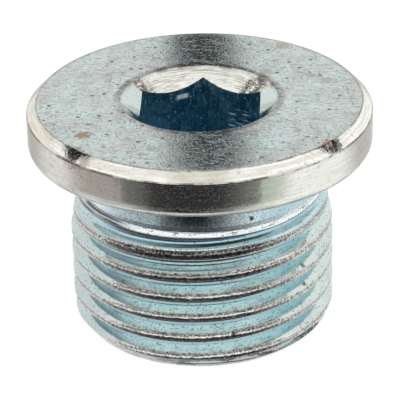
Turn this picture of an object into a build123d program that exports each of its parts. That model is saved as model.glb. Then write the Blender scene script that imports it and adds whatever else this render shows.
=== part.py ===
from build123d import *
import math
import os

os.makedirs("parts", exist_ok=True)

# Sizes in millimetres
# The plug stands on the flat end of its thread, with the collar at the top.
# The origin is the centre of that flat end and +Z runs up the plug's axis.

# Collar
collar_diameter = 23.0
collar_thickness = 3.05
collar_top_chamfer = 0.65
collar_lower_round = 0.4

# Shank below the collar, with the thread's full crests on its largest diameter
shank_length = 12.8
thread_diameter = 17.8
neck_diameter = 16.3
neck_length = 2.7
neck_root_round = 0.4
first_crest_diameter = 16.84
first_crest_lead = 0.5
runout_length = 2.6
end_flat_diameter = 16.0
end_chamfer_height = 1.0

# Right-hand metric thread, rolled with a flat crest and a narrow flat root
thread_pitch = 1.5
thread_depth = 0.8
crest_width = 0.375
flank_angle = 30.0
crest_height_at_x_axis = 8.952

# Facets of the thread: their length along it, the least height of one at the thread's
# ends and the grid that their corners lie on
facet_length = 1.4
least_facet = 0.08
corner_grid = 0.000001

# Step between the thread's last facets and the round neck
neck_step = 0.02

# Hexagon socket, two of its corners on the Y axis
hex_across_flats = 8.0
hex_depth = 7.5
hex_turn = 30.0
mouth_diameter = 10.5
mouth_depth_at_flats = 1.15
drill_point_angle = 120.0

# Lengths and radii that follow from the sizes above
overall_height = shank_length + collar_thickness
collar_radius = collar_diameter / 2
thread_radius = thread_diameter / 2
neck_radius = neck_diameter / 2
end_radius = end_flat_diameter / 2
hex_inner_radius = hex_across_flats / 2
mouth_radius = mouth_diameter / 2
first_crest_radius = first_crest_diameter / 2
neck_bottom = shank_length - neck_length
lead_bottom = neck_bottom - first_crest_lead
runout_bottom = lead_bottom - runout_length
root_radius = thread_radius - thread_depth
flank_height = thread_depth * math.tan(math.radians(flank_angle))
lowest_crest = crest_height_at_x_axis - (math.ceil(crest_height_at_x_axis / thread_pitch) + 1) * thread_pitch
thread_turns = math.ceil((neck_bottom - lowest_crest) / thread_pitch) + 1
thread_columns = round(2 * math.pi * thread_radius / facet_length)
hex_floor = overall_height - hex_depth
mouth_floor = overall_height - mouth_depth_at_flats
drill_point_depth = hex_inner_radius / math.tan(math.radians(drill_point_angle / 2))
drill_point_tip = hex_floor - drill_point_depth


# Edges of one turn of the thread, upwards from its crest: height, radius and
# the way from a crest's edge down its flank, which is 0 at the root
thread_edges = [
    (-crest_width / 2, thread_radius, -1),
    (crest_width / 2, thread_radius, 1),
    (crest_width / 2 + flank_height, root_radius, 0),
    (thread_pitch - crest_width / 2 - flank_height, root_radius, 0),
]

# Outline of the blank that the thread is rolled on, upwards from the flat end: height and radius
blank_outline = [
    (0, end_radius),
    (end_chamfer_height, thread_radius),
    (runout_bottom, thread_radius),
    (lead_bottom, first_crest_radius),
    (neck_bottom, neck_radius),
]


def facet_corner(radius, column, height):
    """A corner of a facet, on one of the columns round the axis."""
    angle = 2 * math.pi * column / thread_columns
    corner = (radius * math.cos(angle), radius * math.sin(angle), height)
    return tuple(round(value / corner_grid) * corner_grid for value in corner)


def blank_radius(height):
    """Radius of the blank's outline at a height."""
    for (low, low_radius), (high, high_radius) in zip(blank_outline, blank_outline[1:]):
        if low <= height <= high:
            return low_radius + (high_radius - low_radius) * (height - low) / (high - low)
    return end_radius if height < 0 else neck_radius


def lost_share(height, flank_way):
    """Share of a flank that goes where the blank's outline cuts the crest's edge at that height away."""
    if blank_radius(height) >= thread_radius:
        return 0
    shares = [1]
    for (low, low_radius), (high, high_radius) in zip(blank_outline, blank_outline[1:]):
        slope = (high_radius - low_radius) / (high - low)
        outside = thread_radius - low_radius - slope * (height - low)
        share = outside / (thread_depth + slope * flank_way * flank_height)
        if 0 < share < 1 and low <= height + flank_way * flank_height * share <= high:
            shares.append(share)
    return min(shares)


def thread_corner(row, column):
    """A corner of the thread's facets, on one of its helical edges."""
    turn, edge = divmod(row, len(thread_edges))
    rise, radius, flank_way = thread_edges[edge]
    height = lowest_crest + rise + (turn + column / thread_columns) * thread_pitch

    # A crest that the blank's cones cut away ends where its flank meets the cone
    height += flank_way * flank_height * lost_share(height, flank_way)
    radius = min(radius, blank_radius(height))

    # The flat end and the neck end the thread
    if height < least_facet:
        height, radius = 0, end_radius
    if height > neck_bottom - least_facet:
        height, radius = neck_bottom, neck_radius - neck_step
    return facet_corner(radius, column, height)


def end_face(height, radius):
    """Flat end of the thread, with a corner at each column of facets."""
    corners = [facet_corner(radius, column, height) for column in range(thread_columns)]
    return Face(Wire.make_polygon(corners))


def threaded_shank():
    """Shank from the flat end to the neck, with its helical thread in facets."""
    facets = [end_face(0, end_radius), end_face(neck_bottom, neck_radius - neck_step)]
    for row in range(thread_turns * len(thread_edges)):
        for column in range(thread_columns):
            low_left = thread_corner(row, column)
            low_right = thread_corner(row, column + 1)
            high_left = thread_corner(row + 1, column)
            high_right = thread_corner(row + 1, column + 1)
            for corners in ((low_left, low_right, high_right), (low_left, high_right, high_left)):
                if len(set(corners)) == 3:
                    facets.append(Face(Wire.make_polygon(corners)))
    return Solid(Shell(facets))


def turned_blank():
    """Neck and collar turned all round, up to the collar's face."""
    with BuildPart() as blank:
        with BuildSketch(Plane.XZ):
            with BuildLine():
                # Lower end of the neck, where the thread starts
                Polyline(
                    (0, neck_bottom),
                    (neck_radius, neck_bottom),
                    (neck_radius, shank_length - neck_root_round),
                )
                # Rounded corner between the neck and the collar's seat
                RadiusArc(
                    (neck_radius, shank_length - neck_root_round),
                    (neck_radius + neck_root_round, shank_length),
                    neck_root_round,
                )
                # Seat of the collar
                Line(
                    (neck_radius + neck_root_round, shank_length),
                    (collar_radius - collar_lower_round, shank_length),
                )
                # Rounded lower edge of the collar
                RadiusArc(
                    (collar_radius - collar_lower_round, shank_length),
                    (collar_radius, shank_length + collar_lower_round),
                    -collar_lower_round,
                )
                # Rim, top chamfer and top face
                Polyline(
                    (collar_radius, shank_length + collar_lower_round),
                    (collar_radius, overall_height - collar_top_chamfer),
                    (collar_radius - collar_top_chamfer, overall_height),
                    (0, overall_height),
                    (0, neck_bottom),
                )
            make_face()
        revolve(axis=Axis.Z)
    return blank.part


def hexagon_hole():
    """Straight part of the socket."""
    with BuildPart() as hole:
        with BuildSketch(Plane.XY.offset(hex_floor)):
            RegularPolygon(hex_inner_radius, 6, major_radius=False, rotation=hex_turn)
        extrude(amount=hex_depth)
    return hole.part


def turned_hollows():
    """Conical mouth above the hexagon and the drill point below it."""
    with BuildPart() as hollows:
        with BuildSketch(Plane.XZ):
            with BuildLine():
                Polyline(
                    (0, mouth_floor),
                    (hex_inner_radius, mouth_floor),
                    (mouth_radius, overall_height),
                    (0, overall_height),
                    (0, mouth_floor),
                )
            make_face()
            with BuildLine():
                Polyline(
                    (0, drill_point_tip),
                    (hex_inner_radius, hex_floor),
                    (0, hex_floor),
                    (0, drill_point_tip),
                )
            make_face()
        revolve(axis=Axis.Z)
    return hollows.part


plug = turned_blank() + threaded_shank() - hexagon_hole() - turned_hollows()
plug.label = "plug"
export_step(plug, "parts/plug.step")
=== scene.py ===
import math

import bmesh
import bpy
from mathutils import Matrix, Vector


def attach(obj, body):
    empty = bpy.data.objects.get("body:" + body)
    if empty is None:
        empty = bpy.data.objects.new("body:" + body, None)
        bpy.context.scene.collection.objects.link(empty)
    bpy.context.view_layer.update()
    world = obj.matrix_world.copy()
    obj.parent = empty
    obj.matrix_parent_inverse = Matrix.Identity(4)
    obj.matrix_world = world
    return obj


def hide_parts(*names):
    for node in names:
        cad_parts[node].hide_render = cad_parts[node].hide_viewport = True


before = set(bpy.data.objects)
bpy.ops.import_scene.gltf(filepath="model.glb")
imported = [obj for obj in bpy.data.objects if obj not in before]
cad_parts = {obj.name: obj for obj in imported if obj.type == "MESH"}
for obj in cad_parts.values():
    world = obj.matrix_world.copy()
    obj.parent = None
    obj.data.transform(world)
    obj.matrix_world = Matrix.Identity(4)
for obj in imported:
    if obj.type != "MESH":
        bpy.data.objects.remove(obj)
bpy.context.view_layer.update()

MM = 0.001

# Sizes of the plug, in millimetres
COLLAR_RADIUS = 11.5
COLLAR_SEAT_HEIGHT = 12.8
PLUG_HEIGHT = 15.85
COLLAR_TOP_CHAMFER = 0.65
COLLAR_LOWER_ROUND = 0.4
NECK_RADIUS = 8.15
NECK_ROOT_ROUND = 0.4
NECK_BOTTOM = 10.1
FIRST_CREST_RADIUS = 8.42
FIRST_CREST_HEIGHT = 9.6
RUNOUT_BOTTOM = 7.0
CREST_RADIUS = 8.9
FLAT_END_RADIUS = 8.12
END_CHAMFER_HEIGHT = 0.85
THREAD_PITCH = 1.5
THREAD_DEPTH = 0.8
CREST_WIDTH = 0.375
FLANK_ANGLE = 30.0
CREST_HEIGHT_AT_X_AXIS = 8.952
MOUTH_RADIUS = 5.25
MOUTH_DEPTH_AT_FLATS = 1.15
HEX_INNER_RADIUS = 4.0
HEX_FLOOR = 8.35
DRILL_POINT_TIP = 6.04
EDGE_WEAR_ROUND = 0.07

# Outer edge of the top face and upper edge of the rim, with the chamfer between them
TOP_FACE_RADIUS = COLLAR_RADIUS - COLLAR_TOP_CHAMFER
RIM_TOP_HEIGHT = PLUG_HEIGHT - COLLAR_TOP_CHAMFER

# Mesh fineness: counts, and lengths in millimetres
COLUMNS = 300
ROWS_PER_PITCH = 30
THREAD_TURNS = 8
TURNS_BELOW_LAST_CREST = 7
SHANK_TOP = 10.4
STRIP_MERGE = 0.002
BODY_MERGE = 0.001
SHORTEST_EDGE = 0.0001
ARC_STEPS = 4
LONGEST_RUN = 0.6
MOUTH_ROWS = 3
HEX_ROWS = 8
DRILL_POINT_SHARES = (0, 0.3, 0.6, 0.85)
FLAT_END_SHARES = (0.93, 0.6, 0.25)
SHARP_ANGLE = 32.0

# Order of the finishes on the plug's mesh
SHANK, COLLAR, SOCKET = range(3)


# Small helpers for node trees
def add_node(tree, kind, **settings):
    """A node of that kind, with its settings made."""
    node = tree.nodes.new(kind)
    for name, value in settings.items():
        setattr(node, name, value)
    return node


def feed(tree, socket, value):
    """Joins another node's output to a socket, or writes a plain value on it."""
    if isinstance(value, bpy.types.NodeSocket):
        tree.links.new(value, socket)
    else:
        socket.default_value = value


def sums(tree, operation, *operands, clamp=False):
    """Output of a Math node."""
    node = add_node(tree, "ShaderNodeMath", operation=operation, use_clamp=clamp)
    for socket, value in zip(node.inputs, operands):
        feed(tree, socket, value)
    return node.outputs[0]


def times(tree, value, *factors):
    """A value times one or more factors."""
    for factor in factors:
        value = sums(tree, "MULTIPLY", value, factor)
    return value


def most(tree, value, *others):
    """The highest of two or more values."""
    for other in others:
        value = sums(tree, "MAXIMUM", value, other)
    return value


def less(tree, value, taken):
    """A value with another taken away from it."""
    return sums(tree, "SUBTRACT", value, taken)


def rest(tree, share):
    """What a share leaves of 1."""
    return less(tree, 1.0, share)


def scaled(tree, value, factor, start):
    """A start, plus a value times a factor."""
    return sums(tree, "MULTIPLY_ADD", value, factor, start)


def ramp(tree, value, low, high, to_low=0.0, to_high=1.0, smooth=True):
    """Output of a Map Range node that runs from one level to another."""
    kind = "SMOOTHSTEP" if smooth else "LINEAR"
    node = add_node(tree, "ShaderNodeMapRange", interpolation_type=kind, clamp=True)
    levels = {"Value": value, "From Min": low, "From Max": high, "To Min": to_low, "To Max": to_high}
    for name, level in levels.items():
        feed(tree, node.inputs[name], level)
    return node.outputs["Result"]


def fall(tree, value, low, high):
    """1 below the low level and 0 above the high one."""
    return ramp(tree, value, low, high, 1.0, 0.0)


def between(tree, value, low, high, soft):
    """1 between two levels and 0 outside them, with soft ends."""
    rising = ramp(tree, value, low - soft, low + soft)
    return times(tree, rising, fall(tree, value, high - soft, high + soft))


def band(tree, value, middle, width):
    """1 near the middle level, falling to 0 at the width on both sides."""
    away = sums(tree, "ABSOLUTE", less(tree, value, middle))
    return fall(tree, away, width * 0.3, width)


def parts(tree, vector):
    """The three parts of a vector or a colour."""
    node = add_node(tree, "ShaderNodeSeparateXYZ")
    feed(tree, node.inputs[0], vector)
    return node.outputs


def joined(tree, x, y, z):
    """A vector made of its three parts."""
    node = add_node(tree, "ShaderNodeCombineXYZ")
    for socket, value in zip(node.inputs, (x, y, z)):
        feed(tree, socket, value)
    return node.outputs[0]


def noise(tree, place, scale, detail, roughness=0.5):
    """Output of a Noise Texture node."""
    node = add_node(tree, "ShaderNodeTexNoise", noise_dimensions="3D")
    values = {"Vector": place, "Scale": scale, "Detail": detail, "Roughness": roughness}
    for name, value in values.items():
        feed(tree, node.inputs[name], value)
    return node.outputs[0]


# Threaded shank, made by Geometry Nodes
THREAD_SIZES = {
    "Crest Radius": CREST_RADIUS * MM,
    "Thread Depth": THREAD_DEPTH * MM,
    "Pitch": THREAD_PITCH * MM,
    "Crest Width": CREST_WIDTH * MM,
    "Flank Angle": math.radians(FLANK_ANGLE),
    "Root Softness": 0.22 * MM,
    "Edge Softness": 0.05 * MM,
    "Flat End Radius": FLAT_END_RADIUS * MM,
    "End Chamfer Height": END_CHAMFER_HEIGHT * MM,
    "End Chamfer Offset": 0.18 * MM,
    "First Groove Height": 0.9 * MM,
    "First Groove Share": 0.35,
    "Neck Radius": NECK_RADIUS * MM,
    "Neck Bottom": NECK_BOTTOM * MM,
    "Neck Blend": 0.15 * MM,
    "First Crest Radius": FIRST_CREST_RADIUS * MM,
    "First Crest Height": FIRST_CREST_HEIGHT * MM,
    "Run-out Bottom": RUNOUT_BOTTOM * MM,
    "Top Height": SHANK_TOP * MM,
    "Start Height": (CREST_HEIGHT_AT_X_AXIS - TURNS_BELOW_LAST_CREST * THREAD_PITCH) * MM,
    "Crest Wear": 0.035 * MM,
    "Wear Reach": 0.6 * MM,
    "Wear Scale": 1400.0,
    "Merge Distance": STRIP_MERGE * MM,
}
THREAD_COUNTS = {"Turns": THREAD_TURNS, "Columns": COLUMNS, "Rows": ROWS_PER_PITCH}

# Ends of the cones under the neck, by the names of their height and their radius
RUNOUT_START = ("Run-out Bottom", "Crest Radius")
FIRST_CREST = ("First Crest Height", "First Crest Radius")
NECK_START = ("Neck Bottom", "Neck Radius")


def cone(tree, given, height, low, high):
    """Radius of a cone through two such ends, carried on beyond them."""
    (low_height, low_radius), (high_height, high_radius) = low, high
    whole = less(tree, given[high_height], given[low_height])
    share = sums(tree, "DIVIDE", less(tree, height, given[low_height]), whole)
    change = less(tree, given[high_radius], given[low_radius])
    return scaled(tree, share, change, given[low_radius])


def thread_radius(tree, given, height, turns_up):
    """Radius of an endless thread: flanks and a rounded root, shallower where it starts at the flat end."""
    pitches = sums(tree, "DIVIDE", less(tree, height, given["Start Height"]), given["Pitch"])
    phase = sums(tree, "WRAP", less(tree, pitches, turns_up), 0.5, -0.5)
    from_crest = times(tree, sums(tree, "ABSOLUTE", phase), given["Pitch"])
    half_crest = times(tree, given["Crest Width"], 0.5)
    beyond = most(tree, less(tree, from_crest, half_crest), 0.0)
    flank = sums(tree, "DIVIDE", beyond, sums(tree, "TANGENT", given["Flank Angle"]))
    cut = sums(tree, "SMOOTH_MIN", flank, given["Thread Depth"], given["Root Softness"])
    started = ramp(tree, height, 0.0, given["First Groove Height"], given["First Groove Share"], 1.0)
    return less(tree, given["Crest Radius"], times(tree, cut, started))


def trimming_radius(tree, given, height, angle):
    """Radius of the cones that trim the crests: end chamfer, taper towards the neck and lead into it."""
    rise = sums(tree, "DIVIDE", height, given["End Chamfer Height"])
    widening = less(tree, given["Crest Radius"], given["Flat End Radius"])
    chamfer = scaled(tree, rise, widening, given["Flat End Radius"])
    sideways = times(tree, sums(tree, "COSINE", angle), given["End Chamfer Offset"])
    chamfer = sums(tree, "ADD", chamfer, times(tree, sideways, sums(tree, "MINIMUM", rise, 1.0)))
    taper = cone(tree, given, height, RUNOUT_START, FIRST_CREST)
    lead = cone(tree, given, height, FIRST_CREST, NECK_START)
    both = sums(tree, "SMOOTH_MIN", taper, lead, given["Edge Softness"])
    return sums(tree, "SMOOTH_MIN", both, chamfer, given["Edge Softness"])


def wound(tree, angle, radius, height):
    """Place at an angle, a radius and a height."""
    x = times(tree, sums(tree, "COSINE", angle), radius)
    y = times(tree, sums(tree, "SINE", angle), radius)
    return joined(tree, x, y, height)


def thread_tree():
    """Geometry Nodes tree of the shank: a strip one pitch high, wound up it and trimmed to its length."""
    tree = bpy.data.node_groups.new("threaded_shank", "GeometryNodeTree")
    kinds = dict.fromkeys(THREAD_SIZES, "NodeSocketFloat")
    kinds.update(dict.fromkeys(THREAD_COUNTS, "NodeSocketInt"))
    kinds["Material"] = "NodeSocketMaterial"
    for name, kind in kinds.items():
        tree.interface.new_socket(name=name, in_out="INPUT", socket_type=kind)
    tree.interface.new_socket(name="Geometry", in_out="OUTPUT", socket_type="NodeSocketGeometry")
    given = add_node(tree, "NodeGroupInput").outputs

    # Flat strip, one unit long and one unit wide
    grid = add_node(tree, "GeometryNodeMeshGrid")
    feed(tree, grid.inputs["Size X"], 1.0)
    feed(tree, grid.inputs["Size Y"], 1.0)
    feed(tree, grid.inputs["Vertices X"], scaled(tree, given["Turns"], given["Columns"], 1.0))
    feed(tree, grid.inputs["Vertices Y"], sums(tree, "ADD", given["Rows"], 1.0))
    x, y, _ = parts(tree, add_node(tree, "GeometryNodeInputPosition").outputs[0])
    turns_up = times(tree, sums(tree, "ADD", x, 0.5), given["Turns"])
    angle = times(tree, turns_up, 2 * math.pi)

    # Height of each point on the wound strip, held between the flat end and the neck
    rise = times(tree, sums(tree, "ADD", turns_up, sums(tree, "ADD", y, 0.5)), given["Pitch"])
    height = most(tree, sums(tree, "ADD", rise, given["Start Height"]), 0.0)
    height = sums(tree, "MINIMUM", height, given["Top Height"])

    # The cones trim the thread, and the neck is turned plain
    thread = thread_radius(tree, given, height, turns_up)
    trimming = trimming_radius(tree, given, height, angle)
    radius = sums(tree, "SMOOTH_MIN", thread, trimming, given["Edge Softness"])
    neck = ramp(tree, height, less(tree, given["Neck Bottom"], given["Neck Blend"]), given["Neck Bottom"])
    plain = times(tree, less(tree, given["Neck Radius"], radius), neck)
    radius = sums(tree, "ADD", radius, plain)

    # Crests wear unevenly
    patchy = noise(tree, wound(tree, angle, given["Crest Radius"], height), given["Wear Scale"], 4.0)
    below_crest = less(tree, given["Crest Radius"], radius)
    on_crest = times(tree, ramp(tree, below_crest, 0.0, given["Wear Reach"], 1.0, 0.1), rest(tree, neck))
    radius = less(tree, radius, times(tree, patchy, given["Crest Wear"], on_crest))

    wind = add_node(tree, "GeometryNodeSetPosition")
    feed(tree, wind.inputs["Position"], wound(tree, angle, radius, height))
    merge = add_node(tree, "GeometryNodeMergeByDistance")
    feed(tree, merge.inputs["Distance"], given["Merge Distance"])
    real = add_node(tree, "GeometryNodeRealizeInstances")
    paint = add_node(tree, "GeometryNodeSetMaterial")
    feed(tree, paint.inputs["Material"], given["Material"])
    made = grid.outputs["Mesh"]
    for node in (wind, merge, real, paint):
        feed(tree, node.inputs["Geometry"], made)
        made = node.outputs["Geometry"]
    feed(tree, add_node(tree, "NodeGroupOutput").inputs["Geometry"], made)
    return tree


def threaded_shank(material):
    """Plain mesh of the shank, from its flat end's edge up to the neck."""
    holder = bpy.data.objects.new("shank_maker", bpy.data.meshes.new("shank_maker"))
    bpy.context.scene.collection.objects.link(holder)
    modifier = holder.modifiers.new("threaded_shank", "NODES")
    modifier.node_group = thread_tree()
    values = {**THREAD_SIZES, **THREAD_COUNTS, "Material": material}
    for item in modifier.node_group.interface.items_tree:
        if item.in_out == "INPUT":
            modifier[item.identifier] = values[item.name]
    bpy.context.view_layer.update()
    graph = bpy.context.evaluated_depsgraph_get()
    mesh = bpy.data.meshes.new_from_object(holder.evaluated_get(graph))
    holder.modifiers.remove(modifier)
    bpy.data.objects.remove(holder)
    return mesh


# Neck, collar and socket
def rounded(corners):
    """Profile points through the given corners (radius, height, rounding), each rounded corner an arc."""
    points = []
    for index, (r, z, rounding) in enumerate(corners):
        if not rounding or index in (0, len(corners) - 1):
            points.append((r, z))
            continue
        here = Vector((r, z))
        before = (Vector(corners[index - 1][:2]) - here).normalized()
        after = (Vector(corners[index + 1][:2]) - here).normalized()
        half = before.angle(after) / 2
        reach = rounding / math.tan(half)
        centre = here + (before + after).normalized() * (rounding / math.sin(half))
        start, end = here + before * reach - centre, here + after * reach - centre
        for step in range(ARC_STEPS + 1):
            swing = start.slerp(end, step / ARC_STEPS).normalized() * rounding
            points.append(tuple(centre + swing))
    return points


def divided(points):
    """The same profile with extra points, so that no run is too long."""
    out = [points[0]]
    for a, b in zip(points, points[1:]):
        count = max(1, math.ceil(math.dist(a, b) / LONGEST_RUN))
        for step in range(1, count + 1):
            t = step / count
            out.append((a[0] + (b[0] - a[0]) * t, a[1] + (b[1] - a[1]) * t))
    return out


def hexagon_radius(angle):
    """Distance from the axis to the hexagon's wall, whose flats face along X."""
    sixth = math.pi / 3
    return HEX_INNER_RADIUS / math.cos((angle + sixth / 2) % sixth - sixth / 2)


def mouth_height(radius):
    """Height of the conical mouth at that distance from the axis."""
    slope = MOUTH_DEPTH_AT_FLATS / (MOUTH_RADIUS - HEX_INNER_RADIUS)
    return PLUG_HEIGHT - (MOUTH_RADIUS - radius) * slope


def collar_profile():
    """Profile of the neck and the collar, from above the shank to the edge of the mouth."""
    corners = rounded([
        (NECK_RADIUS, SHANK_TOP, 0),
        (NECK_RADIUS, COLLAR_SEAT_HEIGHT, NECK_ROOT_ROUND),
        (COLLAR_RADIUS, COLLAR_SEAT_HEIGHT, COLLAR_LOWER_ROUND),
        (COLLAR_RADIUS, RIM_TOP_HEIGHT, EDGE_WEAR_ROUND),
        (TOP_FACE_RADIUS, PLUG_HEIGHT, EDGE_WEAR_ROUND),
        (MOUTH_RADIUS, PLUG_HEIGHT, EDGE_WEAR_ROUND),
        (HEX_INNER_RADIUS, PLUG_HEIGHT - MOUTH_DEPTH_AT_FLATS, 0),
    ])
    return divided(corners[:-1])[1:]


def socket_profile(angle):
    """Profile of the mouth, the hexagon's wall and the drill point, at an angle round the axis."""
    wall = hexagon_radius(angle)
    wall_top = mouth_height(wall)
    mouth_start = MOUTH_RADIUS - EDGE_WEAR_ROUND
    points = []
    for step in range(1, MOUTH_ROWS + 1):
        r = mouth_start + (wall - mouth_start) * (step / MOUTH_ROWS)
        points.append((r, mouth_height(r)))
    for step in range(1, HEX_ROWS + 1):
        points.append((wall, wall_top + (HEX_FLOOR - wall_top) * (step / HEX_ROWS)))
    for share in DRILL_POINT_SHARES:
        points.append((HEX_INNER_RADIUS * (1 - share), HEX_FLOOR + (DRILL_POINT_TIP - HEX_FLOOR) * share))
    return points


# Dents: direction in degrees, distance from the axis, height, width and depth in millimetres
DENTS = [
    (-38.0, 11.1, 15.75, 0.40, 0.09),
    (-128.0, 11.4, 15.2, 0.40, 0.03),
    (40.0, 11.3, 15.5, 0.50, 0.05),
    (150.0, 11.2, 15.6, 0.45, 0.05),
]


def knocked(place):
    """A place on the collar, moved inwards and down where a dent is."""
    for turn, r, height, width, depth in DENTS:
        a = math.radians(turn)
        away = (place - Vector((r * math.cos(a), r * math.sin(a), height))).length / width
        if away < 1:
            out = Vector((place.x, place.y, 0)).normalized()
            inward = (Vector((0, 0, -1)) - out).normalized()
            place = place + inward * depth * (1 - away * away) ** 2
    return place


def turn_of(vertex):
    """Angle of a vertex round the axis."""
    return math.atan2(vertex.co.y, vertex.co.x)


def bridge(body, ring, grown):
    """Four-sided faces between two rings of vertices."""
    for i in range(len(ring)):
        j = (i + 1) % len(ring)
        body.faces.new((ring[i], ring[j], grown[j], grown[i]))


def close(body, ring, place):
    """Three-sided faces from a ring of vertices to one place."""
    tip = body.verts.new(place)
    for i in range(len(ring)):
        body.faces.new((ring[i], ring[(i + 1) % len(ring)], tip))


def grow_head(body, ring):
    """Neck, collar and socket, grown from the ring of vertices at the top of the shank."""
    angles = [turn_of(v) for v in ring]
    collar = collar_profile()
    profiles = [collar + socket_profile(a) for a in angles]
    for points in zip(*profiles):
        places = [knocked(Vector((r * math.cos(a), r * math.sin(a), z))) for a, (r, z) in zip(angles, points)]
        grown = [body.verts.new(place * MM) for place in places]
        bridge(body, ring, grown)
        ring = grown
    close(body, ring, (0, 0, DRILL_POINT_TIP * MM))


def close_flat_end(body, ring):
    """Flat end, with rings inside its edge so that its faces stay well shaped."""
    edge = ring
    for share in FLAT_END_SHARES:
        inner = [body.verts.new((v.co.x * share, v.co.y * share, v.co.z)) for v in edge]
        bridge(body, inner, ring)
        ring = inner
    close(body, ring[::-1], (0, 0, 0))


def finish_at(place):
    """Which finish the plug has at a place, given in millimetres."""
    margin = 0.01
    r = math.hypot(place.x, place.y)
    wall = hexagon_radius(math.atan2(place.y, place.x))
    if r < wall + margin and END_CHAMFER_HEIGHT < place.z < mouth_height(r) - margin:
        return SOCKET
    return SHANK if place.z < COLLAR_SEAT_HEIGHT - margin else COLLAR


def plug_body(shank, materials):
    """One closed mesh: the threaded shank with the neck, collar and socket grown from its upper edge."""
    body = bmesh.new()
    body.from_mesh(shank)
    open_edges = [e for e in body.edges if e.is_boundary]
    low = {v for e in open_edges if e.verts[0].co.z < MM and e.verts[1].co.z < MM for v in e.verts}
    top = {v for e in open_edges for v in e.verts} - low
    grow_head(body, sorted(top, key=turn_of))
    close_flat_end(body, sorted(low, key=turn_of))
    bmesh.ops.remove_doubles(body, verts=body.verts[:], dist=BODY_MERGE * MM)
    bmesh.ops.dissolve_degenerate(body, edges=body.edges[:], dist=SHORTEST_EDGE * MM)
    bmesh.ops.recalc_face_normals(body, faces=body.faces[:])
    for face in body.faces:
        face.smooth = True
        face.material_index = finish_at(face.calc_center_median() / MM)
    mesh = bpy.data.meshes.new("plug_body")
    body.to_mesh(mesh)
    body.free()
    for material in materials:
        mesh.materials.append(material)
    mesh.set_sharp_from_angle(angle=math.radians(SHARP_ANGLE))
    made = bpy.data.objects.new("plug_body", mesh)
    bpy.context.scene.collection.objects.link(made)
    return made


# Groups of nodes that the finishes share
def new_group(name, inputs, outputs=("Mask",)):
    """A shader node group that reads a place and the named values, and puts out the named numbers."""
    tree = bpy.data.node_groups.new(name, "ShaderNodeTree")
    tree.interface.new_socket(name="Place", in_out="INPUT", socket_type="NodeSocketVector")
    for label, value in inputs.items():
        kind = "NodeSocketVector" if isinstance(value, tuple) else "NodeSocketFloat"
        socket = tree.interface.new_socket(name=label, in_out="INPUT", socket_type=kind)
        socket.default_value = value
    for label in outputs:
        tree.interface.new_socket(name=label, in_out="OUTPUT", socket_type="NodeSocketFloat")
    return tree, add_node(tree, "NodeGroupInput").outputs, add_node(tree, "NodeGroupOutput").inputs


def pits_group():
    """Small round pits and specks, scattered unevenly."""
    tree, given, gives = new_group("pits", {"Scale": 6000.0, "Amount": 0.2, "Size": 0.25})
    cells = add_node(tree, "ShaderNodeTexVoronoi", feature="F1")
    feed(tree, cells.inputs["Vector"], given["Place"])
    feed(tree, cells.inputs["Scale"], given["Scale"])
    picked = sums(tree, "LESS_THAN", parts(tree, cells.outputs["Color"])[0], given["Amount"])
    round_spot = fall(tree, cells.outputs["Distance"], times(tree, given["Size"], 0.5), given["Size"])
    feed(tree, gives["Mask"], times(tree, picked, round_spot))
    return tree


def scratches_group():
    """Short fine scratches along one direction of the surface."""
    tree, given, gives = new_group("scratches", {"Turn": 0.0, "Scale": 900.0, "Amount": 0.3})
    turned = add_node(tree, "ShaderNodeVectorRotate", rotation_type="Z_AXIS")
    feed(tree, turned.inputs["Vector"], given["Place"])
    feed(tree, turned.inputs["Angle"], given["Turn"])
    squeezed = stretched(tree, turned.outputs[0], (1.0, 9.0, 2.0))
    edge = less(tree, 0.80, times(tree, given["Amount"], 0.4))
    lines = noise(tree, squeezed, given["Scale"], 2.0)
    feed(tree, gives["Mask"], ramp(tree, lines, edge, sums(tree, "ADD", edge, 0.05)))
    return tree


def stretched(tree, vector, factors):
    """A vector with each of its three parts times a factor."""
    node = add_node(tree, "ShaderNodeVectorMath", operation="MULTIPLY")
    feed(tree, node.inputs[0], vector)
    feed(tree, node.inputs[1], factors)
    return node.outputs[0]


def clouds_group():
    """Soft uneven patches, from nothing to full."""
    tree, given, gives = new_group("clouds", {"Scale": 250.0, "Low": 0.35, "High": 0.65})
    patch = noise(tree, given["Place"], given["Scale"], 5.0, 0.6)
    feed(tree, gives["Mask"], ramp(tree, patch, given["Low"], given["High"]))
    return tree


def from_axis(tree, x, y):
    """Distance from the plug's axis."""
    return sums(tree, "SQRT", sums(tree, "ADD", times(tree, x, x), times(tree, y, y)))


def place_group():
    """Distance from the plug's axis and height above its flat end in millimetres, direction in degrees."""
    tree, given, gives = new_group("place_on_plug", {}, ("Radius", "Height", "Turn"))
    x, y, z = parts(tree, given["Place"])
    feed(tree, gives["Radius"], times(tree, from_axis(tree, x, y), 1 / MM))
    feed(tree, gives["Height"], times(tree, z, 1 / MM))
    feed(tree, gives["Turn"], sums(tree, "DEGREES", sums(tree, "ARCTAN2", y, x)))
    return tree


# Least distance from the axis, in metres, that a direction is worked out with
LEAST_RADIUS = 0.0001


def streaks_group():
    """Fine lines that run round the plug, at levels given in millimetres."""
    values = {"Level": 0.0, "Around": 3.0, "Fine": 10.0, "Low": 0.42, "High": 0.58}
    tree, given, gives = new_group("streaks", values)
    x, y, _ = parts(tree, given["Place"])
    across = most(tree, from_axis(tree, x, y), LEAST_RADIUS)
    to_x = times(tree, sums(tree, "DIVIDE", x, across), given["Around"])
    to_y = times(tree, sums(tree, "DIVIDE", y, across), given["Around"])
    place = joined(tree, to_x, to_y, times(tree, given["Level"], given["Fine"]))
    feed(tree, gives["Mask"], ramp(tree, noise(tree, place, 1.0, 2.0), given["Low"], given["High"]))
    return tree


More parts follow.
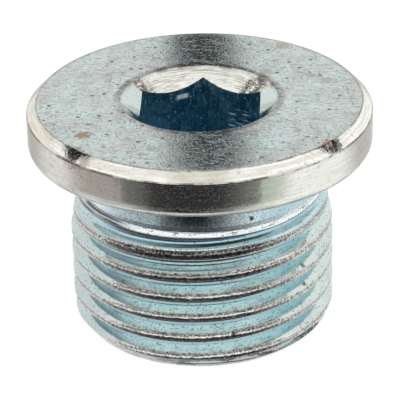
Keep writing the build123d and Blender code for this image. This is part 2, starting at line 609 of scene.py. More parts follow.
def spot_group():
    """A ragged spot round one place of the plug, given in metres."""
    tree, given, gives = new_group("spot", {"Middle": (0.0, 0.0, 0.0), "Size": 0.0003})
    away = add_node(tree, "ShaderNodeVectorMath", operation="DISTANCE")
    feed(tree, away.inputs[0], given["Place"])
    feed(tree, away.inputs[1], given["Middle"])
    share = sums(tree, "DIVIDE", away.outputs["Value"], given["Size"])
    uneven = less(tree, noise(tree, given["Place"], 3600.0, 3.0), 0.5)
    feed(tree, gives["Mask"], fall(tree, scaled(tree, uneven, 2.2, share), 0.5, 1.0))
    return tree


def thread_place_group():
    """Distance in millimetres above (+) or below (-) the middle of the thread's nearest crest."""
    tree, given, gives = new_group("place_on_thread", {}, ("Above Crest",))
    x, y, z = parts(tree, given["Place"])
    turned = sums(tree, "DIVIDE", sums(tree, "ARCTAN2", y, x), 2 * math.pi)
    above = less(tree, z, CREST_HEIGHT_AT_X_AXIS * MM)
    pitches = less(tree, sums(tree, "DIVIDE", above, THREAD_PITCH * MM), turned)
    phase = sums(tree, "WRAP", pitches, 0.5, -0.5)
    feed(tree, gives["Above Crest"], times(tree, phase, THREAD_PITCH))
    return tree


def front_group():
    """1 on the plug's front, where most of the shank's painted reflections and painted shade are strongest,
    falling to 0 at the sides.
    """
    tree, given, gives = new_group("towards_front", {})
    x, y, _ = parts(tree, given["Place"])
    towards_back = sums(tree, "DIVIDE", y, most(tree, from_axis(tree, x, y), LEAST_RADIUS))
    feed(tree, gives["Mask"], fall(tree, towards_back, -0.95, -0.62))
    return tree


PITS = pits_group()
SCRATCHES = scratches_group()
CLOUDS = clouds_group()
PLACE_ON_PLUG = place_group()
STREAKS = streaks_group()
SPOT = spot_group()
PLACE_ON_THREAD = thread_place_group()
TOWARDS_FRONT = front_group()


def use(tree, group, where, **values):
    """Outputs of a group placed in a material, with its own values."""
    node = add_node(tree, "ShaderNodeGroup", node_tree=group)
    feed(tree, node.inputs["Place"], where)
    for name, value in values.items():
        feed(tree, node.inputs[name], value)
    return node.outputs


def clouds(tree, where, scale, low, high):
    """Mask of soft patches. It rises between two levels of the noise."""
    return use(tree, CLOUDS, where, Scale=scale, Low=low, High=high)["Mask"]


def streaks(tree, where, level, around, fine, low=0.42, high=0.58):
    """Mask of lines round the plug, broken by how fast they change around it and fine by the level."""
    return use(tree, STREAKS, where, Level=level, Around=around, Fine=fine, Low=low, High=high)["Mask"]


def pits(tree, where, scale, amount, size):
    """Mask of pits. The amount is the share of cells that have one."""
    return use(tree, PITS, where, Scale=scale, Amount=amount, Size=size)["Mask"]


def scratches(tree, where, turn, scale, amount):
    """Mask of scratches. The turn is in radians."""
    return use(tree, SCRATCHES, where, Turn=turn, Scale=scale, Amount=amount)["Mask"]


def mixed(tree, share, low, high):
    """Colour between two others."""
    node = add_node(tree, "ShaderNodeMix", data_type="RGBA")
    feed(tree, node.inputs[0], share)
    feed(tree, node.inputs[6], low)
    feed(tree, node.inputs[7], high)
    return node.outputs[2]


def colour(r, g, b):
    """Colour given as it shows on screen, from 0 to 255, turned into the shader's own scale."""
    def plain(v):
        v = v / 255
        return v / 12.92 if v <= 0.04045 else ((v + 0.055) / 1.055) ** 2.4
    return (plain(r), plain(g), plain(b), 1.0)


def metal(name, roughness):
    """A metal material, its tree, its shader and the place on the plug."""
    material = bpy.data.materials.new(name)
    material.use_nodes = True
    tree = material.node_tree
    tree.nodes.clear()
    shader = add_node(tree, "ShaderNodeBsdfPrincipled")
    shader.inputs["Metallic"].default_value = 1.0
    shader.inputs["Roughness"].default_value = roughness
    output = add_node(tree, "ShaderNodeOutputMaterial")
    tree.links.new(shader.outputs[0], output.inputs[0])
    where = add_node(tree, "ShaderNodeTexCoord").outputs["Object"]
    return material, tree, shader, where


def bumped(tree, shader, height, strength, distance):
    """Feeds a height into the shader's normal, at a distance in millimetres."""
    node = add_node(tree, "ShaderNodeBump")
    node.inputs["Strength"].default_value = strength
    node.inputs["Distance"].default_value = distance * MM
    feed(tree, node.inputs["Height"], height)
    feed(tree, shader.inputs["Normal"], node.outputs[0])


# Single spots: direction in degrees, radius, height and size in millimetres, share and colour
RUST = (142, 104, 66)
DULL = (160, 146, 136)
BLACKENED = (58, 50, 46)
COLLAR_SPOTS = [
    (-140.9, 9.23, 15.85, 0.65, 0.8, RUST),
    (58.6, 10.12, 15.85, 0.7, 0.7, DULL),
    (43.9, 6.07, 15.85, 0.6, 0.7, DULL),
    (19.3, 8.87, 15.85, 0.7, 0.6, DULL),
    (-38.0, 11.0, 15.80, 0.6, 0.7, RUST),
    (-35.0, 11.2, 15.45, 0.5, 0.7, BLACKENED),
    (-133.0, 11.1, 15.55, 0.9, 0.45, BLACKENED),
    (-127.5, 11.2, 15.50, 0.7, 0.35, BLACKENED),
]
BLACK = (42, 38, 38)
THREAD_SPOTS = [
    (-73.8, 8.75, 2.71, 0.28, 0.9, BLACK),
    (-35.4, 8.75, 4.74, 0.26, 0.8, BLACK),
    (-36.1, 8.75, 3.34, 0.28, 0.9, BLACK),
    (-36.8, 8.75, 6.13, 0.22, 0.7, BLACK),
    (-63.2, 8.15, 10.62, 0.18, 0.9, BLACK),
    (-128.0, 8.75, 6.6, 0.22, 0.6, BLACK),
    (-120.0, 8.75, 5.0, 0.20, 0.6, BLACK),
]


def spotted(tree, where, base, spots):
    """The colour with single spots on it."""
    for turn, radius, height, size, share, tone in spots:
        a = math.radians(turn)
        middle = (radius * math.cos(a) * MM, radius * math.sin(a) * MM, height * MM)
        mask = use(tree, SPOT, where, Middle=middle, Size=size * MM)["Mask"]
        base = mixed(tree, times(tree, mask, share), base, colour(*tone))
    return base


def collar_zinc():
    """Bright zinc plating on the collar: turned faces, fine scratches, pits and a few rust spots, with
    painted reflections and painted shade that change round it.
    """
    material, tree, shader, where = metal("bright_zinc_collar", 0.15)
    radius, height, turn = use(tree, PLACE_ON_PLUG, where)
    to_right = sums(tree, "COSINE", sums(tree, "RADIANS", turn))
    on_top = ramp(tree, height, PLUG_HEIGHT - 0.05, PLUG_HEIGHT - 0.02)
    on_rim = ramp(tree, radius, COLLAR_RADIUS - 0.06, COLLAR_RADIUS - 0.02)
    in_mouth = fall(tree, radius, MOUTH_RADIUS - 0.05, MOUTH_RADIUS + 0.01)
    outside_top = ramp(tree, radius, TOP_FACE_RADIUS - 0.25, TOP_FACE_RADIUS - 0.15)
    chamfer = times(tree, rest(tree, on_top), rest(tree, on_rim), outside_top)
    level = scaled(tree, radius, 1.7, height)
    lines = streaks(tree, where, level, 4.0, 9.0)
    hair = streaks(tree, where, level, 7.0, 24.0)
    soft = clouds(tree, where, 420.0, 0.3, 0.7)
    fine = clouds(tree, where, 5200.0, 0.32, 0.68)

    # Top face: cool plate with dull blotches and fine dark grain
    base = mixed(tree, soft, colour(201, 208, 204), colour(211, 229, 227))
    rosy = clouds(tree, where, 310.0, 0.45, 0.68)
    base = mixed(tree, times(tree, rosy, 0.35), base, colour(206, 196, 198))
    blotch = clouds(tree, where, 700.0, 0.52, 0.72)
    base = mixed(tree, times(tree, blotch, 0.4), base, colour(160, 151, 142))
    base = mixed(tree, times(tree, fine, 0.30), base, colour(100, 104, 102))

    # Chamfer: nearly white turned lines, with painted shade that makes it a little duller in the middle of
    # the front and on the far left
    front_painted_shade = between(tree, turn, -96.0, -78.0, 4.0)
    bright = mixed(tree, front_painted_shade, colour(254, 253, 247), colour(224, 223, 211))
    bright = mixed(tree, fall(tree, to_right, -0.87, -0.72), bright, colour(232, 227, 214))
    bright = mixed(tree, times(tree, lines, 0.4), bright, colour(196, 188, 172))
    base = mixed(tree, chamfer, base, bright)

    # Conical mouth: turned lines, a painted reflection that makes its left and right sides smooth and pale
    # green-white, and dark patches by two corners of the hexagon
    cut = streaks(tree, where, level, 2.5, 6.0, 0.50, 0.62)
    cut = most(tree, times(tree, hair, 0.5), times(tree, cut, 0.75))
    mouth = mixed(tree, cut, colour(252, 255, 249), colour(158, 150, 132))
    aside = rest(tree, between(tree, sums(tree, "ABSOLUTE", turn), 26.0, 153.0, 4.0))
    mouth = mixed(tree, aside, mouth, colour(206, 219, 216))
    corners = most(tree, between(tree, turn, 143.0, 152.0, 3.0), between(tree, turn, 31.0, 44.0, 4.0))
    patches = times(tree, corners, clouds(tree, where, 3600.0, 0.42, 0.52), 0.85)
    mouth = mixed(tree, patches, mouth, colour(70, 60, 50))
    base = mixed(tree, in_mouth, base, mouth)

    # Rim: painted reflection, paler on the right and darker away from the front, with brushed lines
    rim = mixed(tree, ramp(tree, to_right, -0.66, -0.53), colour(220, 218, 212), colour(244, 246, 238))
    away = ramp(tree, sums(tree, "ABSOLUTE", sums(tree, "ADD", turn, 90.0)), 52.0, 68.0)
    rim = mixed(tree, away, rim, colour(186, 184, 178))
    rim = mixed(tree, times(tree, hair, 0.22), rim, colour(130, 122, 116))
    base = mixed(tree, on_rim, base, rim)

    # Scratches, pits and stains, mostly on the top face
    first = scratches(tree, where, 0.25, 1150.0, 0.42)
    second = scratches(tree, where, -0.3, 1300.0, 0.42)
    third = scratches(tree, where, 1.3, 1500.0, 0.34)
    scratched = most(tree, first, second, third)
    specks = pits(tree, where, 4200.0, 0.24, 0.36)
    holes = pits(tree, where, 1400.0, 0.28, 0.26)
    stains = times(tree, pits(tree, where, 620.0, 0.16, 0.26), on_top, 0.4)
    base = mixed(tree, stains, base, colour(150, 132, 124))
    marks = most(tree, times(tree, scratched, 0.68), times(tree, specks, 0.6), times(tree, holes, 0.8))
    marks = times(tree, marks, scaled(tree, on_top, 0.7, 0.3))
    base = mixed(tree, marks, base, colour(78, 78, 74))

    # Brown lines along the chamfer's edges and round the mouth, the mouth's made stronger at the back as
    # painted shade; painted shade along the back of the top face's edge and on the collar's lower round
    broken = scaled(tree, clouds(tree, where, 900.0, 0.40, 0.60), 0.7, 0.25)
    rim_edge = band(tree, height, RIM_TOP_HEIGHT, 0.10)
    rim_edge = times(tree, rim_edge, ramp(tree, radius, COLLAR_RADIUS - 0.2, COLLAR_RADIUS - 0.08))
    top_edge = times(tree, band(tree, radius, TOP_FACE_RADIUS, 0.09), 0.7)
    behind = ramp(tree, sums(tree, "SINE", sums(tree, "RADIANS", turn)), -0.1, 0.4)
    # Painted shade along the top face's outer edge at the back
    far_edge = ramp(tree, radius, TOP_FACE_RADIUS - 0.3, TOP_FACE_RADIUS)
    far_edge = times(tree, far_edge, times(tree, behind, 0.75))
    mouth_edge = times(tree, band(tree, radius, MOUTH_RADIUS + 0.17, 0.42), scaled(tree, behind, 0.5, 0.5))
    # Painted shade on the collar's lower round, under the rim
    low_edge = fall(tree, height, COLLAR_SEAT_HEIGHT + 0.14, COLLAR_SEAT_HEIGHT + 0.45)
    low_edge = times(tree, low_edge, ramp(tree, radius, COLLAR_RADIUS - 0.55, COLLAR_RADIUS - 0.35))
    edges = times(tree, most(tree, rim_edge, top_edge, mouth_edge), broken)
    base = mixed(tree, edges, base, colour(120, 104, 94))
    base = mixed(tree, far_edge, base, colour(142, 140, 136))
    low_share = times(tree, low_edge, scaled(tree, broken, 0.3, 0.65))
    base = mixed(tree, low_share, base, colour(92, 88, 86))
    base = spotted(tree, where, base, COLLAR_SPOTS)
    feed(tree, shader.inputs["Base Color"], base)

    # Smooth where it is turned and duller where it is worn, with a fine turned relief
    rough = scaled(tree, times(tree, fine, on_top), 0.05, 0.06)
    rough = scaled(tree, on_top, 0.06, rough)
    dusty = clouds(tree, where, 9000.0, 0.40, 0.60)
    brushed = times(tree, hair, scaled(tree, dusty, 0.16, 0.06))
    rough = scaled(tree, brushed, on_rim, rough)
    feed(tree, shader.inputs["Roughness"], scaled(tree, marks, 0.2, rough))
    turned = add_node(tree, "ShaderNodeTexNoise", noise_dimensions="1D")
    feed(tree, turned.inputs["W"], radius)
    feed(tree, turned.inputs["Scale"], 9.0)
    feed(tree, turned.inputs["Detail"], 3.0)
    relief = scaled(tree, turned.outputs[0], 0.3, times(tree, fine, 0.25))
    relief = times(tree, relief, scaled(tree, on_rim, -0.8, 1.0))
    bumped(tree, shader, less(tree, relief, marks), 0.3, 0.02)
    return material


# Bands of the shank's finish by height, in millimetres
END_FACE_BAND = (0.75, 1.05)
END_LINE = (0.28, 0.40)
FIRST_LIP_HEIGHTS = (8.25, 8.95)
FIRST_GROOVE = (8.98, 9.62)
THREAD_FADE = (9.3, 9.5)
CREST_FADE = (9.4, 9.6)
CONE_EDGE = (9.52, 9.72)
CONE_BAND = (FIRST_CREST_HEIGHT, NECK_BOTTOM + 0.04)
CONE_CORE = (9.76, 10.00)
NECK_FADE = (NECK_BOTTOM - 0.02, NECK_BOTTOM + 0.04)
NECK_FOOT = (NECK_BOTTOM + 0.04, NECK_BOTTOM + 0.24)

# Bands along the thread, in millimetres above (+) or below (-) the middle of a crest
UNDER_FLANK = (-0.66, -0.20)
NEAR_CREST = (-0.50, -0.24)
UPPER_FLANK = (0.18, 0.62)
VIOLET_BAND = (0.24, 0.44)
ROOT_FADE = (0.62, 0.67)
CREST_BOTTOM_FADE = (-0.23, -0.17)
CREST_LIP = (-0.23, 0.02)
ROOT_LINE = (-0.80, -0.665)
FIRST_LIP = (-0.05, 0.36)
GLEAM_LINE = (0.03, 0.11)
DARK_LINE = (0.15, 0.23)
SIDE_LINE = (-0.06, 0.15)


def thread_zinc():
    """Zinc plating on the shank: pale flanks and blue undersides coloured by painted reflections that change
    round the plug, and crests with wear and a painted dark reflection on their lower lip.
    """
    material, tree, shader, where = metal("bright_zinc_thread", 0.2)
    _, height, turn = use(tree, PLACE_ON_PLUG, where)
    to_right = sums(tree, "COSINE", sums(tree, "RADIANS", turn))
    along = use(tree, PLACE_ON_THREAD, where)["Above Crest"]
    front = use(tree, TOWARDS_FRONT, where)["Mask"]
    threaded = fall(tree, height, *NECK_FADE)
    below_cone = fall(tree, height, *THREAD_FADE)
    soft = clouds(tree, where, 500.0, 0.3, 0.7)
    grain = clouds(tree, where, 8500.0, 0.44, 0.56)
    sharp = clouds(tree, where, 7200.0, 0.48, 0.54)
    tint = clouds(tree, where, 900.0, 0.35, 0.65)
    lines = streaks(tree, where, along, 3.0, 11.0, 0.44, 0.56)
    dashes = streaks(tree, where, along, 9.0, 15.0, 0.63, 0.67)
    ragged = scaled(tree, less(tree, grain, 0.5), 0.07, along)

    # Flanks that face up: nearly white, with painted reflections: darker on the left, paler in front, and a
    # painted violet shade above the crests in front
    sides = mixed(tree, soft, colour(202, 215, 212), colour(216, 229, 225))
    leftward = fall(tree, to_right, -0.71, -0.42)
    beside = times(tree, between(tree, along, *UPPER_FLANK, 0.08), leftward)
    sides = mixed(tree, times(tree, beside, 0.45), sides, colour(164, 184, 188))
    base = mixed(tree, front, sides, mixed(tree, soft, colour(224, 238, 235), colour(238, 246, 242)))
    violet = times(tree, between(tree, along, *VIOLET_BAND, 0.08), times(tree, tint, front), 0.5)
    base = mixed(tree, violet, base, colour(184, 194, 222))

    # Flanks that face down: a painted reflection, blue to pale green and greyer near the crest, darker on the
    # left and paler in front
    rightward = ramp(tree, to_right, -0.57, 0.57)
    blue = mixed(tree, rightward, colour(152, 188, 206), colour(160, 214, 230))
    blue = mixed(tree, times(tree, tint, 0.7), blue, colour(180, 216, 220))
    blue = mixed(tree, front, blue, mixed(tree, tint, colour(180, 214, 224), colour(196, 224, 228)))
    near_crest = mixed(tree, rightward, colour(124, 140, 142), colour(154, 194, 200))
    near_crest = mixed(tree, front, near_crest, colour(210, 220, 212))
    below = mixed(tree, ramp(tree, along, *NEAR_CREST), blue, near_crest)
    facing_down = times(tree, between(tree, along, *UNDER_FLANK, 0.02), below_cone)
    base = mixed(tree, facing_down, base, below)

    # Blue roots darkened as painted shade, less in front, and a painted pale blue reflection in the groove
    # under the neck
    root = ramp(tree, sums(tree, "ABSOLUTE", along), *ROOT_FADE)
    root = times(tree, root, scaled(tree, front, -0.3, 0.9))
    base = mixed(tree, root, base, colour(118, 154, 170))
    first_groove = between(tree, height, *FIRST_GROOVE, 0.05)
    base = mixed(tree, times(tree, first_groove, 0.6), base, colour(182, 224, 236))
    # Dark dashes, stronger in front
    marks = times(tree, dashes, scaled(tree, front, 0.3, 0.2))
    base = mixed(tree, marks, base, colour(84, 88, 92))

    # Plain neck, bluer on the right as painted reflection, with fine dark grain deepened in front as painted
    # shade and a painted shade line at its foot in front
    dusty = times(tree, rest(tree, grain), scaled(tree, front, 0.35, 0.10))
    plate_and_painted_reflection = mixed(tree, ramp(tree, to_right, 0.41, 0.67), colour(210, 228, 232), colour(186, 212, 220))
    neck = mixed(tree, dusty, plate_and_painted_reflection, colour(96, 102, 108))
    foot = times(tree, between(tree, height, *NECK_FOOT, 0.05), front, 0.6)
    neck = mixed(tree, foot, neck, colour(48, 46, 48))
    base = mixed(tree, threaded, neck, base)

    # Cone under the neck: white turned lines, with a painted highlight all along its middle and on its sides,
    # dark and broken in between, and painted shade on the left
    cone_lines = streaks(tree, where, height, 2.5, 14.0, 0.46, 0.54)
    dull_line = mixed(tree, cone_lines, colour(112, 134, 146), colour(196, 214, 222))
    white = most(tree, between(tree, height, *CONE_CORE, 0.04), scaled(tree, front, -0.6, 0.6))
    cone_tone = mixed(tree, white, dull_line, colour(254, 255, 254))
    cone_tone = mixed(tree, times(tree, dashes, 0.8), cone_tone, colour(60, 62, 66))
    cone_tone = mixed(tree, times(tree, rest(tree, sharp), 0.2), cone_tone, colour(110, 120, 128))
    cone_painted_shade = between(tree, turn, -160.0, -122.0, 8.0)
    cone_painted_shade = times(tree, cone_painted_shade, scaled(tree, cone_lines, -0.45, 0.95))
    cone_tone = mixed(tree, cone_painted_shade, cone_tone, colour(74, 82, 88))
    base = mixed(tree, between(tree, height, *CONE_BAND, 0.03), base, cone_tone)

    # Crests speckled with wear, and in front, from the top down: a painted dark line, a painted highlight
    # (the gleam) and a lip darkened as painted dark reflection
    upper = scaled(tree, front, 0.11, 0.14)
    crest = fall(tree, ragged, less(tree, upper, 0.03), sums(tree, "ADD", upper, 0.03))
    crest = times(tree, crest, ramp(tree, ragged, *CREST_BOTTOM_FADE), fall(tree, height, *CREST_FADE))
    bright = mixed(tree, tint, colour(232, 222, 212), colour(246, 248, 244))
    # The crests' dark tone is a painted dark reflection, darkest in front
    dark = mixed(tree, tint, colour(48, 38, 40), colour(80, 76, 74))
    dark = mixed(tree, front, colour(146, 136, 130), dark)
    share = ramp(tree, scaled(tree, lines, 0.45, times(tree, sharp, 0.55)), 0.22, 0.62)
    crest_wear_and_painted_light = mixed(tree, scaled(tree, share, 0.85, 0.15), dark, bright)
    dark_line = times(tree, between(tree, ragged, *DARK_LINE, 0.02), times(tree, front, 0.7))
    crest_wear_and_painted_light = mixed(tree, dark_line, crest_wear_and_painted_light, colour(76, 70, 62))
    gleam = times(tree, between(tree, ragged, *GLEAM_LINE, 0.015), scaled(tree, lines, 0.4, 0.5), front)
    crest_wear_and_painted_light = mixed(tree, gleam, crest_wear_and_painted_light, colour(250, 247, 242))
    base = mixed(tree, crest, base, crest_wear_and_painted_light)

    # Painted shade: a grey line on the crests at the sides
    side_line = times(tree, between(tree, ragged, *SIDE_LINE, 0.02), rest(tree, front), below_cone)
    side_line = times(tree, side_line, scaled(tree, share, -0.5, 0.85))
    base = mixed(tree, side_line, base, colour(112, 108, 104))

    # Painted dark reflections on the lips under the crests, strongest in front and broken by glitter, and
    # painted shade lines in the roots and at the cone's edge
    lip = most(tree, between(tree, ragged, *CREST_LIP, 0.02), between(tree, along, *ROOT_LINE, 0.015))
    first = between(tree, height, *FIRST_LIP_HEIGHTS, 0.08)
    first = times(tree, first, between(tree, ragged, *FIRST_LIP, 0.03))
    lip = most(tree, lip, times(tree, first, scaled(tree, share, -0.6, 1.0)))
    glitter = clouds(tree, where, 9500.0, 0.60, 0.66)
    lip = times(tree, lip, scaled(tree, front, 0.82, 0.16), scaled(tree, glitter, -0.55, 1.0), below_cone)
    cone_edge = times(tree, between(tree, height, *CONE_EDGE, 0.03), scaled(tree, front, 0.55, 0.35))
    lip = most(tree, lip, cone_edge)
    base = mixed(tree, lip, base, mixed(tree, sharp, colour(14, 15, 18), colour(62, 58, 58)))

    # Grey grain and turned lines on the end chamfer, a painted shade line near the flat end in front, and
    # dark specks everywhere
    end_lines = streaks(tree, where, height, 5.0, 9.0, 0.44, 0.56)
    end_share = scaled(tree, end_lines, 0.6, times(tree, sharp, 0.4))
    end_grain = mixed(tree, ramp(tree, end_share, 0.2, 0.7), colour(66, 62, 60), colour(208, 209, 207))
    base = mixed(tree, times(tree, fall(tree, height, *END_FACE_BAND), 0.85), base, end_grain)
    end_line = times(tree, between(tree, height, *END_LINE, 0.03), front, 0.7)
    base = mixed(tree, end_line, base, colour(60, 58, 56))
    specks = pits(tree, where, 6500.0, 0.30, 0.40)
    base = mixed(tree, times(tree, specks, 0.7), base, colour(50, 46, 46))
    base = spotted(tree, where, base, THREAD_SPOTS)
    feed(tree, shader.inputs["Base Color"], base)

    # Duller crests, with a grainy relief
    rough = scaled(tree, first_groove, 0.04, scaled(tree, threaded, 0.04, 0.08))
    feed(tree, shader.inputs["Roughness"], scaled(tree, crest, 0.12, rough))
    rough_crest = less(tree, times(tree, grain, crest), specks)
    bumped(tree, shader, times(tree, rough_crest, threaded), 0.3, 0.02)
    return material


def socket_zinc():
    """Plating inside the hexagon: blue and darker than the collar, with grain drawn out along the axis, and
    painted highlights: pale specks, lit lines on one wall and a glint near its top.
    """
    material, tree, shader, where = metal("zinc_socket", 0.3)
    _, height, turn = use(tree, PLACE_ON_PLUG, where)
    soft = clouds(tree, where, 900.0, 0.3, 0.7)
    base = mixed(tree, soft, colour(108, 160, 182), colour(140, 184, 198))
    grain = clouds(tree, stretched(tree, where, (1.0, 1.0, 0.25)), 6400.0, 0.54, 0.70)
    base = mixed(tree, times(tree, grain, 0.5), base, colour(190, 214, 220))
    specks = pits(tree, where, 4200.0, 0.35, 0.34)
    lines = streaks(tree, where, height, 2.0, 5.0, 0.54, 0.60)
    # Painted highlights: lit lines on one wall, a glint near the top and pale specks
    lit = times(tree, between(tree, turn, 42.0, 64.0, 4.0), between(tree, height, 11.6, 13.9, 0.2), lines)
    glint = times(tree, between(tree, turn, 104.0, 116.0, 2.0), between(tree, height, 14.0, 14.35, 0.08))
    shine = most(tree, lit, glint, times(tree, specks, 0.5))
    base = mixed(tree, shine, base, colour(248, 250, 250))
    feed(tree, shader.inputs["Base Color"], base)
    rough = scaled(tree, soft, 0.1, 0.22)
    feed(tree, shader.inputs["Roughness"], scaled(tree, shine, 0.5, rough))
    bumped(tree, shader, sums(tree, "ADD", soft, grain), 0.9, 0.03)
    return material


# Camera of the photograph: degrees, millimetres and pixels
CAMERA_TURN = 3.76
CAMERA_ELEVATION = 27.228
CAMERA_ROLL = -1.289
CAMERA_DISTANCE = 157.25
FOCAL_PIXELS = 2317.98
AIM_ACROSS = -0.102
AIM_HEIGHT = 8.213
IMAGE_SIZE = 400
SENSOR_WIDTH = 36.0

# White surroundings: how bright they look, and how bright they light the plug
SEEN_WHITE = 1.0
LIGHTING_WHITE = 0.7
FLOOR_HALF_WIDTH = 1.5
FLOOR_DROP = 0.00002
FLOOR_PAINT = 0.88
FLOOR_GLOW = 1.1
FLOOR_GLOW_SHARE = 0.85


def shown_ray(tree):
    """1 for rays from the camera, from gloss and through glass, and 0 for the rest."""
    path = add_node(tree, "ShaderNodeLightPath").outputs
    gloss = sums(tree, "ADD", path["Is Glossy Ray"], path["Is Transmission Ray"])
    return sums(tree, "ADD", path["Is Camera Ray"], gloss, clamp=True)


def set_world():
    """White surroundings, softer where they light the plug."""
    world = bpy.data.worlds.new("studio")
    bpy.context.scene.world = world
    world.use_nodes = True
    tree = world.node_tree
    tree.nodes.clear()
    back = add_node(tree, "ShaderNodeBackground")
    back.inputs["Color"].default_value = (1, 1, 1, 1)
    white = ramp(tree, shown_ray(tree), 0.0, 1.0, LIGHTING_WHITE, SEEN_WHITE, smooth=False)
    feed(tree, back.inputs["Strength"], white)
    output = add_node(tree, "ShaderNodeOutputWorld")
    tree.links.new(back.outputs[0], output.inputs[0])


def set_floor():
    """A plain pale floor that keeps the plug's soft shadow."""
    mesh = bpy.data.meshes.new("studio_floor")
    size = FLOOR_HALF_WIDTH
    corners = [(-size, -size, 0), (size, -size, 0), (size, size, 0), (-size, size, 0)]
    mesh.from_pydata(corners, [], [(0, 1, 2, 3)])
    floor = bpy.data.objects.new("studio_floor", mesh)
    bpy.context.scene.collection.objects.link(floor)
    floor.location.z = -FLOOR_DROP
    material = bpy.data.materials.new("studio_floor_white")
    material.use_nodes = True
    tree = material.node_tree
    tree.nodes.clear()
    plain = add_node(tree, "ShaderNodeBsdfDiffuse")
    plain.inputs["Color"].default_value = (FLOOR_PAINT, FLOOR_PAINT, FLOOR_PAINT, 1)
    glow = add_node(tree, "ShaderNodeEmission")
    glow.inputs["Strength"].default_value = FLOOR_GLOW
    mix = add_node(tree, "ShaderNodeMixShader")
    feed(tree, mix.inputs[0], times(tree, shown_ray(tree), FLOOR_GLOW_SHARE))
    tree.links.new(plain.outputs[0], mix.inputs[1])
    tree.links.new(glow.outputs[0], mix.inputs[2])
    output = add_node(tree, "ShaderNodeOutputMaterial")
    tree.links.new(mix.outputs[0], output.inputs[0])
    mesh.materials.append(material)


def card(name, corners, levels, faces=None):
    """A flat studio card that shows only in reflections, with one level of light or one at each corner."""
    mesh = bpy.data.meshes.new(name)
    places = [tuple(c * MM for c in corner) for corner in corners]
    mesh.from_pydata(places, [], faces or [tuple(range(len(corners)))])
    made = bpy.data.objects.new(name, mesh)
    made.rotation_euler.z = math.radians(CAMERA_TURN)
    bpy.context.scene.collection.objects.link(made)
    made.visible_camera = False
    made.visible_diffuse = False
    made.visible_shadow = False
    shade = mesh.color_attributes.new(name="level", type="FLOAT_COLOR", domain="POINT")
    for index, point in enumerate(shade.data):
        point.color = levels[index] if isinstance(levels, list) else levels
    material = bpy.data.materials.new(name)
    material.use_nodes = True
    tree = material.node_tree
    tree.nodes.clear()
    glow = add_node(tree, "ShaderNodeEmission")
    level = add_node(tree, "ShaderNodeVertexColor", layer_name="level").outputs["Color"]
    feed(tree, glow.inputs["Color"], level)
    output = add_node(tree, "ShaderNodeOutputMaterial")
    tree.links.new(glow.outputs[0], output.inputs[0])
    mesh.materials.append(material)


def standing_card(name, turn, height, distance, width, tall, level):
    """A card facing the plug, placed by its direction from straight in front and its height in degrees."""
    a, e = math.radians(turn), math.radians(height)
    out = Vector((math.sin(a) * math.cos(e), -math.cos(a) * math.cos(e), math.sin(e)))
    side = Vector((math.cos(a), math.sin(a), 0)) * width / 2
    rise = out.cross(side.normalized()) * tall / 2
    middle = out * distance + Vector((0, 0, COLLAR_SEAT_HEIGHT))
    card(name, [middle + side * x + rise * y for x, y in ((-1, -1), (1, -1), (1, 1), (-1, 1))], level)


def seen_on_floor(radius, height, turn):
    """Place on the floor that the camera sees mirrored in a wall of the plug, in the cards' own frame."""
    a = math.radians(turn - CAMERA_TURN)
    e = math.radians(CAMERA_ELEVATION)
    x, y = radius * math.cos(a), radius * math.sin(a)
    before = CAMERA_DISTANCE * math.cos(e)
    above = CAMERA_DISTANCE * math.sin(e) + AIM_HEIGHT - height
    incoming = math.atan2(y + before, x)
    outgoing = 2 * a + math.pi - incoming
    reach = height * math.hypot(x, y + before) / above
    return x + reach * math.cos(outgoing), y + reach * math.sin(outgoing)


# Height of the floor shades above the floor in millimetres, and their finest step in degrees
FLOOR_SHADE_HEIGHT = 0.06
FLOOR_SHADE_STEP = 2


def floor_shade(name, radius, heights, knots):
    """A shade on the floor that shows on a wall between two heights, its level given at directions."""
    corners, levels, faces = [], [], []
    for (first, low), (last, high) in zip(knots, knots[1:]):
        steps = max(1, math.ceil((last - first) / FLOOR_SHADE_STEP))
        for step in range(steps + 1):
            share = step / steps
            turn = first + (last - first) * share
            level = tuple(a + (b - a) * share for a, b in zip(low, high))
            if step:
                n = len(corners)
                faces.append((n - 2, n, n + 1, n - 1))
            for height in heights:
                corners.append((*seen_on_floor(radius, height, turn), FLOOR_SHADE_HEIGHT))
                levels.append((*level, 1))
    card(name, corners, levels, faces)


# Levels of light that the rim, the neck and the first crest show, by direction in degrees
RIM_SHADE = [
    (-178.0, (0.66, 0.65, 0.61)),
    (-160.0, (0.72, 0.70, 0.67)),
    (-146.0, (1.0, 1.0, 1.0)),
    (-136.0, (1.0, 1.0, 1.0)),
    (-129.0, (0.62, 0.58, 0.56)),
    (-125.0, (0.42, 0.38, 0.365)),
    (-113.0, (0.38, 0.335, 0.335)),
    (-111.5, (0.17, 0.17, 0.165)),
    (-106.0, (0.12, 0.12, 0.12)),
    (-102.0, (0.045, 0.044, 0.046)),
    (-96.0, (0.028, 0.026, 0.030)),
    (-82.0, (0.030, 0.030, 0.033)),
    (-78.0, (0.055, 0.055, 0.057)),
    (-73.0, (0.13, 0.13, 0.13)),
    (-68.0, (0.23, 0.23, 0.215)),
    (-67.0, (0.50, 0.56, 0.50)),
    (-61.0, (0.62, 0.66, 0.60)),
    (-56.0, (1.0, 1.0, 1.0)),
    (-30.0, (1.0, 1.0, 1.0)),
    (-12.0, (0.80, 0.79, 0.77)),
    (4.0, (0.76, 0.75, 0.73)),
]
NECK_SHADE = [
    (-140.0, (0.95, 0.95, 0.95)),
    (-134.0, (0.88, 0.88, 0.88)),
    (-126.0, (0.72, 0.72, 0.74)),
    (-118.0, (0.58, 0.58, 0.61)),
    (-110.0, (0.54, 0.56, 0.57)),
    (-102.0, (0.12, 0.12, 0.12)),
    (-94.0, (0.018, 0.016, 0.018)),
    (-86.0, (0.010, 0.014, 0.014)),
    (-78.0, (0.18, 0.18, 0.18)),
    (-70.0, (0.65, 0.65, 0.64)),
    (-62.0, (0.98, 0.98, 0.98)),
]
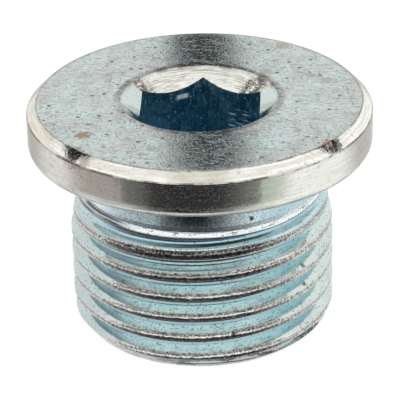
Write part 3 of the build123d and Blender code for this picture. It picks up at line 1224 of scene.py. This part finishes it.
FIRST_CREST_SHADE = [
    (-130.0, (1.0, 1.0, 1.0)),
    (-112.0, (0.10, 0.10, 0.10)),
    (-70.0, (0.06, 0.06, 0.06)),
    (-52.0, (1.0, 1.0, 1.0)),
]


def set_lights():
    """Dark shades and gaps in the white surroundings: on the floor, behind and on either side."""
    floor_shade("rim_shade", COLLAR_RADIUS, (11.4, 32.0), RIM_SHADE)
    floor_shade("neck_shade", NECK_RADIUS, (10.0, 12.6), NECK_SHADE)
    floor_shade("first_crest_shade", FIRST_CREST_RADIUS, (8.35, 8.9), FIRST_CREST_SHADE)
    behind = [(-2.6, 60, 30), (2.9, 60, 30), (5.6, 60, 62), (-2.9, 60, 62)]
    card("gap_behind", behind, (0.02, 0.024, 0.028, 1))
    standing_card("gap_left", -102, 39, 110, 30, 28, (0.03, 0.03, 0.03, 1))
    standing_card("gap_right", 103, 38, 110, 20, 28, (0.04, 0.04, 0.04, 1))
    light = bpy.data.lights.new("soft_key", "AREA")
    light.shape = "RECTANGLE"
    light.size, light.size_y = 0.25, 0.25
    light.energy = 0.05
    made = bpy.data.objects.new("soft_key", light)
    made.location = (-0.12, -0.16, 0.30)
    made.rotation_euler = (Vector(made.location) * -1).to_track_quat("-Z", "Y").to_euler()
    made.visible_glossy = False
    bpy.context.scene.collection.objects.link(made)


def set_camera():
    """Camera at the photograph's viewing angle and distance."""
    data = bpy.data.cameras.new("camera")
    data.sensor_width = SENSOR_WIDTH
    data.lens = SENSOR_WIDTH * FOCAL_PIXELS / IMAGE_SIZE
    data.clip_start, data.clip_end = 0.01, 10
    camera = bpy.data.objects.new("camera", data)
    bpy.context.scene.collection.objects.link(camera)
    e, roll, turn = (math.radians(v) for v in (CAMERA_ELEVATION, CAMERA_ROLL, CAMERA_TURN))
    spin = Matrix.Rotation(turn, 3, "Z")
    back = spin @ Vector((0, -math.cos(e), math.sin(e)))
    level = spin @ Vector((1, 0, 0))
    upright = back.cross(level)
    right = math.cos(roll) * level + math.sin(roll) * upright
    up = math.cos(roll) * upright - math.sin(roll) * level
    place = Vector((0, 0, AIM_HEIGHT)) + AIM_ACROSS * right + CAMERA_DISTANCE * back
    camera.matrix_world = Matrix.Translation(place * MM) @ Matrix((right, up, back)).transposed().to_4x4()
    bpy.context.scene.camera = camera


# Putting it together
finishes = [thread_zinc(), collar_zinc(), socket_zinc()]
plug = plug_body(threaded_shank(finishes[SHANK]), finishes)
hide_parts("plug")
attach(plug, "root")

set_world()
set_floor()
set_lights()
set_camera()
bpy.context.scene.view_settings.view_transform = "Standard"
